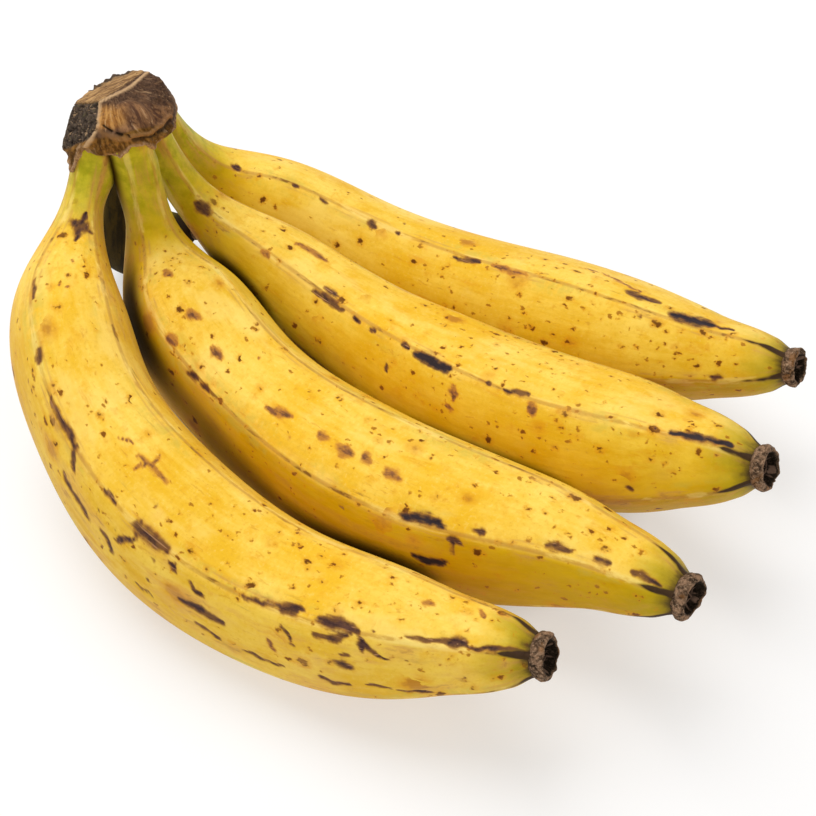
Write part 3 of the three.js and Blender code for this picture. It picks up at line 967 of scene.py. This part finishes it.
def crown_material():
    s = Shader("crown bark")
    local = s.attribute("local", vector=True)
    fibre = s.attribute("fibre", vector=True)
    patch = s.noise(local, 330, 5, 0.6)
    speck = s.noise(local, 1300, 5, 0.65)
    strand = s.noise(fibre, 900, 6, 0.65)
    thread = s.noise(fibre, 2600, 4, 0.6)

    colour = s.grade(patch, 0.35, 0.65, (66, 50, 42), (118, 88, 66))
    bare = s.grade(strand, 0.38, 0.64, (84, 56, 42), (150, 108, 72))
    bare = s.mix(s.attribute("gold"), bare, s.grade(strand, 0.36, 0.6, (142, 92, 42), (194, 142, 78)))
    bare = s.cover(bare, patch, 0.56, 0.7, 0.5, (104, 74, 60))
    dusk = s.grade(speck, 0.4, 0.62, (56, 40, 34), (102, 76, 58))
    bare = s.mix(s.times(s.attribute("dusk"), s.step(patch, 0.3, 0.5, 0.55, 0.95)), bare, dusk)
    bare = s.cover(bare, thread, 0.6, 0.72, 0.55, (206, 166, 124))
    bare = s.cover(bare, thread, 0.4, 0.3, 0.6, (70, 46, 36))
    colour = s.mix(s.attribute("face"), colour, bare)

    char = s.grade(s.noise(local, 420, 6, 0.7), 0.36, 0.62, (50, 42, 38), (90, 76, 64))
    char = s.cover(char, s.noise(local, 560, 4), 0.56, 0.68, 0.6, (92, 82, 58))
    char = s.lay(char, s.attribute("crease"), 0.8, (24, 20, 22))
    slashes = s.noise(s.stretched(s.warped(local, 300, 0.002), (0.35, 1.6, 1)), 900, 3)
    char = s.cover(char, slashes, 0.6, 0.68, 0.75, (164, 134, 104))
    colour = s.mix(s.attribute("left"), colour, char)

    cut = s.grade(strand, 0.36, 0.62, (108, 76, 50), (190, 150, 100))
    cut = s.cover(cut, thread, 0.38, 0.28, 0.7, (66, 44, 30))
    colour = s.mix(s.attribute("top"), colour, cut)

    band = s.grade(strand, 0.38, 0.64, (78, 50, 18), (150, 106, 50))
    band = s.cover(band, patch, 0.52, 0.66, 0.6, (92, 66, 24))
    band = s.cover(band, thread, 0.6, 0.74, 0.4, (186, 140, 84))
    colour = s.mix(s.attribute("low"), colour, band)

    pits = s.step(s.noise(s.warped(local, 400, 0.002), 620, 5, 0.6), 0.57, 0.68, 0, 0.65)
    colour = s.mix(pits, colour, tone(62, 42, 34))
    flecks = s.step(s.noise(s.warped(fibre, 500, 0.001), 1100, 3), 0.6, 0.7, 0, 0.5)
    colour = s.mix(flecks, colour, tone(198, 160, 118))
    pale = s.between(speck, (176, 130, 92), (232, 198, 150))
    colour = s.mix(s.times(s.attribute("pale"), 0.85), colour, pale)
    colour = s.lay(colour, s.attribute("foot"), 0.6, (166, 122, 78))
    torn = s.between(speck, (34, 28, 28), (76, 64, 58))
    colour = s.mix(s.times(s.attribute("rim"), 0.9), colour, torn)
    edge = s.grade(speck, 0.35, 0.65, (150, 112, 78), (206, 170, 132))
    colour = s.mix(s.times(s.attribute("ended"), 0.85), colour, edge)
    # Near-black in the crack, and painted shadow under the face's lower lip
    colour = s.cover(colour, s.attribute("crack"), 0.35, 0.9, 0.9, (30, 20, 14))
    normal = s.bump(thread, 0.0002, 0.6, below=s.bump(strand, 0.0005, 0.7))
    normal = s.bump(speck, 0.0003, 0.6, below=normal)
    return s.finish(colour, s.step(speck, 0.3, 0.7, 0.7, 0.95), normal, 0.2, (255, 216, 160))


finish_piece(make_crown(), crown_material(), "crown")


# Dried flower ends

def make_flower_end(number, finger):
    mesh, u, v = rolled_grid(f"flower end {number}", FLOWER_GRID)
    profile = spline_weights(len(FLOWER_PROFILE), v) @ np.array(FLOWER_PROFILE)
    angle = u * 2 * math.pi
    way = np.stack([np.cos(angle), np.sin(angle)], 1)
    lobes = np.concatenate([way * 2.2, np.full((len(u), 1), 3.7 * number)], 1)
    place = np.concatenate([way * profile[:, :1], profile[:, 1:] + 20.0 * number], 1)
    spoke = np.concatenate([way * 4.2, 0.25 * profile[:, :1] + 3.0 * number], 1)
    lump = noise_field(place, 2.4, 21)
    crinkle = noise_field(place, 1.0, 22)
    fold = smooth(np.abs(noise_field(place * (1, 1, 0.5), 3.2, 23)), 0.07, 0)
    petal = noise_field(spoke, 1.0, 25) * smooth(v, 0.55, 0.7) * smooth(v, 1.0, 0.93)
    held = smooth(v, 0.0, 0.15) * smooth(v, 1.0, 0.9)
    reach = profile[:, 0] * (1 + 0.06 * noise_field(lobes, 1.0, 24))
    reach += held * (0.6 * lump + 0.15 * crinkle - 0.3 * fold)
    reach = pinch_poles(v, np.minimum(reach, FLOWER_REACH)) * (finger["radius"][-1] / FLOWER_TIP)
    rise = profile[:, 1] + held * (0.5 * lump - 0.1 + 0.15 * crinkle - 0.3 * fold) + 1.3 * petal
    rise = np.minimum(rise, FLOWER_RISE)
    centre, _, along, across, outward = Spine(finger).at(np.ones(1))
    points = around(centre, across, outward, angle, reach) + along * rise[:, None]
    write_points(mesh, inside_box(points))
    set_attributes(mesh, place=place * MM, hollow=v, fold=fold, petal=petal)
    close_up(mesh)
    return new_object(f"dried_flower_{number}", mesh)


def flower_material():
    s = Shader("dried flower")
    place = s.attribute("place", vector=True)
    hollow = s.plus(s.attribute("hollow"), s.times(s.noise(place, 500, 4), 0.12))
    patch = s.noise(place, 600, 5, 0.6)
    speck = s.noise(place, 1900, 5, 0.65)
    lip = s.grade(patch, 0.34, 0.64, (48, 35, 27), (150, 118, 92))
    lip = s.cover(lip, speck, 0.52, 0.7, 0.65, (204, 172, 138))
    lip = s.cover(lip, speck, 0.46, 0.32, 0.6, (40, 29, 22))
    lip = s.cover(lip, s.noise(place, 260, 3), 0.56, 0.66, 0.5, (138, 92, 48))
    well = s.grade(speck, 0.45, 0.7, (12, 8, 6), (60, 47, 38))
    well = s.cover(well, s.attribute("petal"), 0.12, 0.42, 0.8, (120, 94, 78))
    colour = s.mix(s.step(hollow, 0.56, 0.66), lip, well)
    colour = s.cover(colour, hollow, 0.3, 0.16, 0.75, (52, 38, 32))
    colour = s.lay(colour, s.attribute("fold"), 0.7, (36, 26, 22))
    normal = s.bump(speck, 0.0003, 0.8, below=s.bump(patch, 0.0006, 0.7))
    return s.finish(colour, 0.8, normal, 0.2, (255, 216, 160))


dried_flower = flower_material()
for number, finger in enumerate(FINGERS.values(), 1):
    end = make_flower_end(number, finger)
    finish_piece(end, dried_flower, f"flower_end_{number}")


# Table, lights and camera

def make_floor():
    mesh = bpy.data.meshes.new("table")
    with shaping(mesh) as bm:
        bmesh.ops.create_grid(bm, x_segments=2, y_segments=2, size=TABLE_SIZE)
    floor = new_object("table", mesh)
    s = Shader("white table")
    place = s.node("TexCoord").outputs["Object"]
    turned = {"Vector": place, "Location": GLOW_SHIFT, "Rotation": (0, 0, GLOW_TURN)}
    place = s.node("Mapping", turned).outputs["Vector"]
    place = s.stretched(place, (1 / GLOW_OVAL[0], 1 / GLOW_OVAL[1], 0))
    away = s.vector_math("LENGTH", {0: place})["Value"]
    s.feed(s.surface, {
        "Base Color": (0.5, 0.5, 0.5, 1), "Roughness": 0.9, "Specular IOR Level": 0.1,
        "Emission Color": (1, 0.99, 0.98, 1),
        "Emission Strength": s.step(away, 0.8, 1.25, 0, GLOW_STRENGTH)})
    floor.data.materials.append(s.material)


def aim(obj, place, way):
    obj.location = place
    obj.rotation_euler = way.to_track_quat("-Z", "Y").to_euler()


def add_light(name, place, size, power):
    light = bpy.data.lights.new(name, "AREA")
    light.shape = "DISK"
    light.size = size
    light.energy = power
    aim(new_object(name, light), place, Vector(LIGHT_TARGET) - Vector(place))


def add_camera():
    camera = bpy.data.cameras.new("camera")
    camera.lens = LENS
    camera.sensor_width = SENSOR
    obj = new_object("camera", camera)
    aim(obj, VIEW_TARGET + Vector(TOWARDS) * VIEW_DISTANCE, -Vector(TOWARDS))
    bpy.context.scene.camera = obj


make_floor()
for name, (place, size, power) in LIGHTS.items():
    add_light(name, place, size, power)
world = bpy.data.worlds.new("studio")
world.use_nodes = True
background = world.node_tree.nodes["Background"].inputs
background["Color"].default_value = (1, 1, 1, 1)
background["Strength"].default_value = STUDIO_STRENGTH
bpy.context.scene.world = world
bpy.context.scene.view_settings.view_transform = "Standard"
add_camera()
